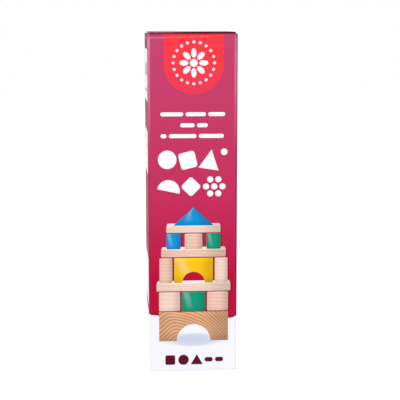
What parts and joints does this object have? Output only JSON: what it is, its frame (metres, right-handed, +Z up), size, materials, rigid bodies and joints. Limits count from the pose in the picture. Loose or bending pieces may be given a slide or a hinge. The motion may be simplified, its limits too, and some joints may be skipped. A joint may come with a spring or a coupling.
{
  "type": "boxed balance game",
  "caption": "Tall shut tuck-top carton holding a wooden balance game: a half-ball rocker with discs, drums and balls stacked on it in columns.",
  "frame": {"origin": "middle of the carton's underside", "axes": "+Z up, the printed front wall faces -Y, +X to the viewer's right"},
  "size_m": [0.075, 0.075, 0.29],
  "materials": {
    "printed_board": "printed and laminated, satin",
    "white_board": "uncoated white board",
    "rocker_wood": "sanded softwood with bold grain",
    "natural_wood": "sanded, uncoated",
    "green_paint": "satin paint on wood",
    "yellow_paint": "satin paint on wood",
    "blue_paint": "satin paint on wood"
  },
  "bodies": {
    "carton": {"front_panel": "printed_board", "back_panel": "printed_board", "left_panel": "printed_board", "right_panel": "printed_board", "glue_flap": "white_board", "bottom_outer_flap": "white_board", "bottom_inner_flap": "white_board", "bottom_left_flap": "white_board", "bottom_right_flap": "white_board"},
    "lid": {"lid_panel": "printed_board", "tuck_tongue": "white_board"},
    "left_dust_flap": {"left_dust_flap": "white_board"},
    "right_dust_flap": {"right_dust_flap": "white_board"},
    "rocker_base": {"rocker_base": "rocker_wood"},
    "large_disc_01": {"large_disc_01": "natural_wood"},
    "large_disc_02": {"large_disc_02": "natural_wood"},
    "medium_disc_01": {"medium_disc_01": "natural_wood"},
    "large_disc_03": {"large_disc_03": "natural_wood"},
    "yellow_disc_1": {"yellow_disc_1": "yellow_paint"},
    "large_disc_04": {"large_disc_04": "natural_wood"},
    "medium_disc_02": {"medium_disc_02": "natural_wood"},
    "green_drum_1": {"green_drum_1": "green_paint"},
    "small_disc_1": {"small_disc_1": "natural_wood"},
    "blue_ball_1": {"blue_ball_1": "blue_paint"},
    "large_disc_05": {"large_disc_05": "natural_wood"},
    "medium_disc_03": {"medium_disc_03": "natural_wood"},
    "large_disc_06": {"large_disc_06": "natural_wood"},
    "medium_disc_04": {"medium_disc_04": "natural_wood"},
    "small_disc_2": {"small_disc_2": "natural_wood"},
    "blue_disc_1": {"blue_disc_1": "blue_paint"},
    "medium_disc_05": {"medium_disc_05": "natural_wood"},
    "green_drum_2": {"green_drum_2": "green_paint"},
    "small_disc_3": {"small_disc_3": "natural_wood"},
    "small_disc_4": {"small_disc_4": "natural_wood"},
    "yellow_ball_1": {"yellow_ball_1": "yellow_paint"},
    "large_disc_07": {"large_disc_07": "natural_wood"},
    "large_disc_08": {"large_disc_08": "natural_wood"},
    "medium_disc_06": {"medium_disc_06": "natural_wood"},
    "large_disc_09": {"large_disc_09": "natural_wood"},
    "green_drum_3": {"green_drum_3": "green_paint"},
    "large_disc_10": {"large_disc_10": "natural_wood"},
    "yellow_disc_2": {"yellow_disc_2": "yellow_paint"},
    "medium_disc_07": {"medium_disc_07": "natural_wood"},
    "small_disc_5": {"small_disc_5": "natural_wood"},
    "yellow_ball_2": {"yellow_ball_2": "yellow_paint"},
    "large_disc_11": {"large_disc_11": "natural_wood"},
    "medium_disc_08": {"medium_disc_08": "natural_wood"},
    "large_disc_12": {"large_disc_12": "natural_wood"},
    "medium_disc_09": {"medium_disc_09": "natural_wood"},
    "blue_disc_2": {"blue_disc_2": "blue_paint"},
    "medium_disc_10": {"medium_disc_10": "natural_wood"},
    "small_disc_6": {"small_disc_6": "natural_wood"},
    "green_drum_4": {"green_drum_4": "green_paint"},
    "small_disc_7": {"small_disc_7": "natural_wood"},
    "small_disc_8": {"small_disc_8": "natural_wood"},
    "blue_ball_2": {"blue_ball_2": "blue_paint"}
  },
  "joints": [
    {"name": "lid_hinge", "type": "hinge", "parent": "carton", "child": "lid", "pos_m": [0, 0.0369, 0.2894], "axis": [-1, 0, 0], "range_deg": [0, 180]},
    {"name": "left_dust_flap_fold", "type": "hinge", "parent": "carton", "child": "left_dust_flap", "pos_m": [-0.0369, 0, 0.288], "axis": [0, -1, 0], "range_deg": [0, 90]},
    {"name": "right_dust_flap_fold", "type": "hinge", "parent": "carton", "child": "right_dust_flap", "pos_m": [0.0369, 0, 0.288], "axis": [0, 1, 0], "range_deg": [0, 90]},
    {"name": "lift_rocker_base", "type": "slide", "parent": "carton", "child": "rocker_base", "axis": [0, 0, 1], "range_m": [0, 0.011]},
    {"name": "lift_large_disc_01", "type": "slide", "parent": "rocker_base", "child": "large_disc_01", "axis": [0, 0, 1], "range_m": [0, 0.011]},
    {"name": "lift_large_disc_02", "type": "slide", "parent": "large_disc_01", "child": "large_disc_02", "axis": [0, 0, 1], "range_m": [0, 0.011]},
    {"name": "lift_medium_disc_01", "type": "slide", "parent": "large_disc_02", "child": "medium_disc_01", "axis": [0, 0, 1], "range_m": [0, 0.011]},
    {"name": "lift_large_disc_03", "type": "slide", "parent": "medium_disc_01", "child": "large_disc_03", "axis": [0, 0, 1], "range_m": [0, 0.011]},
    {"name": "lift_yellow_disc_1", "type": "slide", "parent": "large_disc_03", "child": "yellow_disc_1", "axis": [0, 0, 1], "range_m": [0, 0.011]},
    {"name": "lift_large_disc_04", "type": "slide", "parent": "yellow_disc_1", "child": "large_disc_04", "axis": [0, 0, 1], "range_m": [0, 0.011]},
    {"name": "lift_medium_disc_02", "type": "slide", "parent": "large_disc_04", "child": "medium_disc_02", "axis": [0, 0, 1], "range_m": [0, 0.011]},
    {"name": "lift_green_drum_1", "type": "slide", "parent": "medium_disc_02", "child": "green_drum_1", "axis": [0, 0, 1], "range_m": [0, 0.011]},
    {"name": "lift_small_disc_1", "type": "slide", "parent": "green_drum_1", "child": "small_disc_1", "axis": [0, 0, 1], "range_m": [0, 0.011]},
    {"name": "lift_blue_ball_1", "type": "slide", "parent": "small_disc_1", "child": "blue_ball_1", "axis": [0, 0, 1], "range_m": [0, 0.011]},
    {"name": "lift_large_disc_05", "type": "slide", "parent": "rocker_base", "child": "large_disc_05", "axis": [0, 0, 1], "range_m": [0, 0.011]},
    {"name": "lift_medium_disc_03", "type": "slide", "parent": "large_disc_05", "child": "medium_disc_03", "axis": [0, 0, 1], "range_m": [0, 0.011]},
    {"name": "lift_large_disc_06", "type": "slide", "parent": "medium_disc_03", "child": "large_disc_06", "axis": [0, 0, 1], "range_m": [0, 0.011]},
    {"name": "lift_medium_disc_04", "type": "slide", "parent": "large_disc_06", "child": "medium_disc_04", "axis": [0, 0, 1], "range_m": [0, 0.011]},
    {"name": "lift_small_disc_2", "type": "slide", "parent": "medium_disc_04", "child": "small_disc_2", "axis": [0, 0, 1], "range_m": [0, 0.011]},
    {"name": "lift_blue_disc_1", "type": "slide", "parent": "small_disc_2", "child": "blue_disc_1", "axis": [0, 0, 1], "range_m": [0, 0.011]},
    {"name": "lift_medium_disc_05", "type": "slide", "parent": "blue_disc_1", "child": "medium_disc_05", "axis": [0, 0, 1], "range_m": [0, 0.011]},
    {"name": "lift_green_drum_2", "type": "slide", "parent": "medium_disc_05", "child": "green_drum_2", "axis": [0, 0, 1], "range_m": [0, 0.011]},
    {"name": "lift_small_disc_3", "type": "slide", "parent": "green_drum_2", "child": "small_disc_3", "axis": [0, 0, 1], "range_m": [0, 0.011]},
    {"name": "lift_small_disc_4", "type": "slide", "parent": "small_disc_3", "child": "small_disc_4", "axis": [0, 0, 1], "range_m": [0, 0.011]},
    {"name": "lift_yellow_ball_1", "type": "slide", "parent": "small_disc_4", "child": "yellow_ball_1", "axis": [0, 0, 1], "range_m": [0, 0.011]},
    {"name": "lift_large_disc_07", "type": "slide", "parent": "rocker_base", "child": "large_disc_07", "axis": [0, 0, 1], "range_m": [0, 0.011]},
    {"name": "lift_large_disc_08", "type": "slide", "parent": "large_disc_07", "child": "large_disc_08", "axis": [0, 0, 1], "range_m": [0, 0.011]},
    {"name": "lift_medium_disc_06", "type": "slide", "parent": "large_disc_08", "child": "medium_disc_06", "axis": [0, 0, 1], "range_m": [0, 0.011]},
    {"name": "lift_large_disc_09", "type": "slide", "parent": "medium_disc_06", "child": "large_disc_09", "axis": [0, 0, 1], "range_m": [0, 0.011]},
    {"name": "lift_green_drum_3", "type": "slide", "parent": "large_disc_09", "child": "green_drum_3", "axis": [0, 0, 1], "range_m": [0, 0.011]},
    {"name": "lift_large_disc_10", "type": "slide", "parent": "green_drum_3", "child": "large_disc_10", "axis": [0, 0, 1], "range_m": [0, 0.011]},
    {"name": "lift_yellow_disc_2", "type": "slide", "parent": "large_disc_10", "child": "yellow_disc_2", "axis": [0, 0, 1], "range_m": [0, 0.011]},
    {"name": "lift_medium_disc_07", "type": "slide", "parent": "yellow_disc_2", "child": "medium_disc_07", "axis": [0, 0, 1], "range_m": [0, 0.011]},
    {"name": "lift_small_disc_5", "type": "slide", "parent": "medium_disc_07", "child": "small_disc_5", "axis": [0, 0, 1], "range_m": [0, 0.011]},
    {"name": "lift_yellow_ball_2", "type": "slide", "parent": "small_disc_5", "child": "yellow_ball_2", "axis": [0, 0, 1], "range_m": [0, 0.011]},
    {"name": "lift_large_disc_11", "type": "slide", "parent": "rocker_base", "child": "large_disc_11", "axis": [0, 0, 1], "range_m": [0, 0.011]},
    {"name": "lift_medium_disc_08", "type": "slide", "parent": "large_disc_11", "child": "medium_disc_08", "axis": [0, 0, 1], "range_m": [0, 0.011]},
    {"name": "lift_large_disc_12", "type": "slide", "parent": "medium_disc_08", "child": "large_disc_12", "axis": [0, 0, 1], "range_m": [0, 0.011]},
    {"name": "lift_medium_disc_09", "type": "slide", "parent": "large_disc_12", "child": "medium_disc_09", "axis": [0, 0, 1], "range_m": [0, 0.011]},
    {"name": "lift_blue_disc_2", "type": "slide", "parent": "medium_disc_09", "child": "blue_disc_2", "axis": [0, 0, 1], "range_m": [0, 0.011]},
    {"name": "lift_medium_disc_10", "type": "slide", "parent": "blue_disc_2", "child": "medium_disc_10", "axis": [0, 0, 1], "range_m": [0, 0.011]},
    {"name": "lift_small_disc_6", "type": "slide", "parent": "medium_disc_10", "child": "small_disc_6", "axis": [0, 0, 1], "range_m": [0, 0.011]},
    {"name": "lift_green_drum_4", "type": "slide", "parent": "small_disc_6", "child": "green_drum_4", "axis": [0, 0, 1], "range_m": [0, 0.011]},
    {"name": "lift_small_disc_7", "type": "slide", "parent": "green_drum_4", "child": "small_disc_7", "axis": [0, 0, 1], "range_m": [0, 0.011]},
    {"name": "lift_small_disc_8", "type": "slide", "parent": "small_disc_7", "child": "small_disc_8", "axis": [0, 0, 1], "range_m": [0, 0.011]},
    {"name": "lift_blue_ball_2", "type": "slide", "parent": "small_disc_8", "child": "blue_ball_2", "axis": [0, 0, 1], "range_m": [0, 0.011]}
  ],
  "couplings": [
    {"joint": "left_dust_flap_fold", "follows": "lid_hinge", "ratio": 0.5},
    {"joint": "right_dust_flap_fold", "follows": "lid_hinge", "ratio": 0.5}
  ]
}
